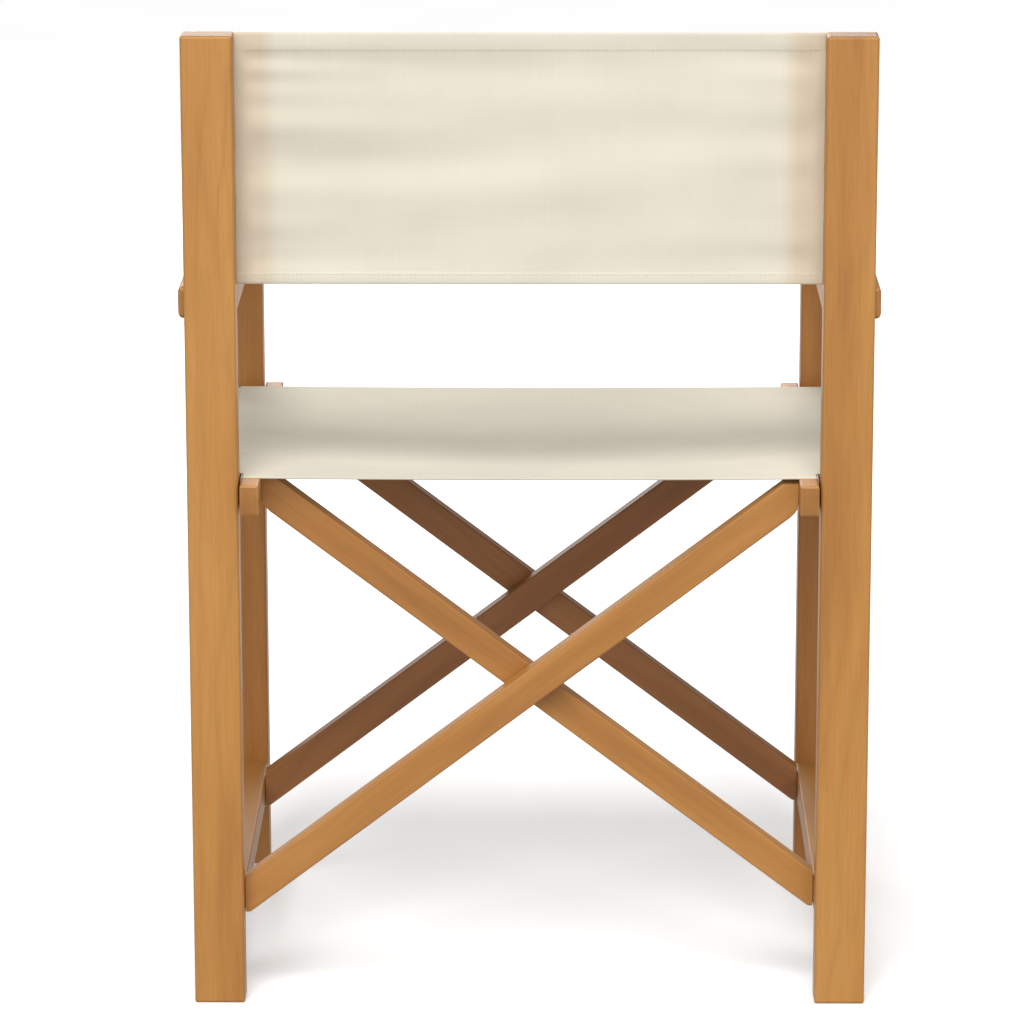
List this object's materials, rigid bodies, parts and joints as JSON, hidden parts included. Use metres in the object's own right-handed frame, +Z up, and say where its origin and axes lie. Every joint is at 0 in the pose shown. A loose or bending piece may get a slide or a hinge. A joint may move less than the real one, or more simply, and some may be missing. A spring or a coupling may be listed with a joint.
{
  "type": "director chair",
  "caption": "Folding wooden director chair with flat arms, crossed braces and a canvas seat and back.",
  "frame": {"origin": "on the floor under the centre of the chair's bounding box", "axes": "+Z up, -Y the way the sitter faces, +X towards the sitter's left"},
  "size_m": [0.587, 0.454, 0.84],
  "materials": {
    "wood": "oiled",
    "wood_brace": "oiled",
    "canvas": "woven",
    "steel": "zinc plated",
    "tack": "aged"
  },
  "bodies": {
    "frame_l": {"leg_rear_l": "wood", "leg_front_l": "wood", "rail_low_l": "wood", "arm_l": "wood", "bracket_low_l": "steel", "screws_low_l": "steel", "tacks_back_l": "tack", "canvas_back": "canvas"},
    "frame_r": {"leg_rear_r": "wood", "leg_front_r": "wood", "rail_low_r": "wood", "arm_r": "wood", "bracket_low_r": "steel", "screws_low_r": "steel", "tacks_back_r": "tack"},
    "seat_l": {"seat_rail_l": "wood", "bracket_up_l": "steel", "screws_up_l": "steel", "tacks_seat_l": "tack", "canvas_seat": "canvas"},
    "seat_r": {"seat_rail_r": "wood", "bracket_up_r": "steel", "screws_up_r": "steel", "tacks_seat_r": "tack"},
    "braces_b": {"bar_b_rear": "wood_brace", "bar_b_front": "wood_brace", "bolts_b_ends": "steel", "bolts_centre": "steel", "washers_centre": "steel"},
    "braces_a": {"bar_a_rear": "wood_brace", "bar_a_front": "wood_brace", "bolts_a_ends": "steel"}
  },
  "joints": [
    {"name": "fold", "type": "hinge", "parent": "frame_l", "child": "braces_b", "pos_m": [0.214, 0, 0.113], "axis": [0, 1, 0], "range_deg": [0, 44], "deforming": ["canvas_seat", "canvas_back"]},
    {"name": "brace_cross", "type": "hinge", "parent": "braces_b", "child": "braces_a", "pos_m": [0, 0, 0.276], "axis": [0, 1, 0], "range_deg": [-88, 0]},
    {"name": "frame_r_foot", "type": "hinge", "parent": "braces_a", "child": "frame_r", "pos_m": [-0.214, 0, 0.113], "axis": [0, 1, 0], "range_deg": [0, 44]},
    {"name": "seat_l_head", "type": "hinge", "parent": "braces_a", "child": "seat_l", "pos_m": [0.214, 0, 0.439], "axis": [0, 1, 0], "range_deg": [0, 44]},
    {"name": "seat_r_head", "type": "hinge", "parent": "braces_b", "child": "seat_r", "pos_m": [-0.214, 0, 0.439], "axis": [0, 1, 0], "range_deg": [-44, 0]}
  ],
  "couplings": [
    {"joint": "brace_cross", "follows": "fold", "ratio": -2},
    {"joint": "frame_r_foot", "follows": "fold", "ratio": 1},
    {"joint": "seat_l_head", "follows": "fold", "ratio": 1},
    {"joint": "seat_r_head", "follows": "fold", "ratio": -1}
  ]
}
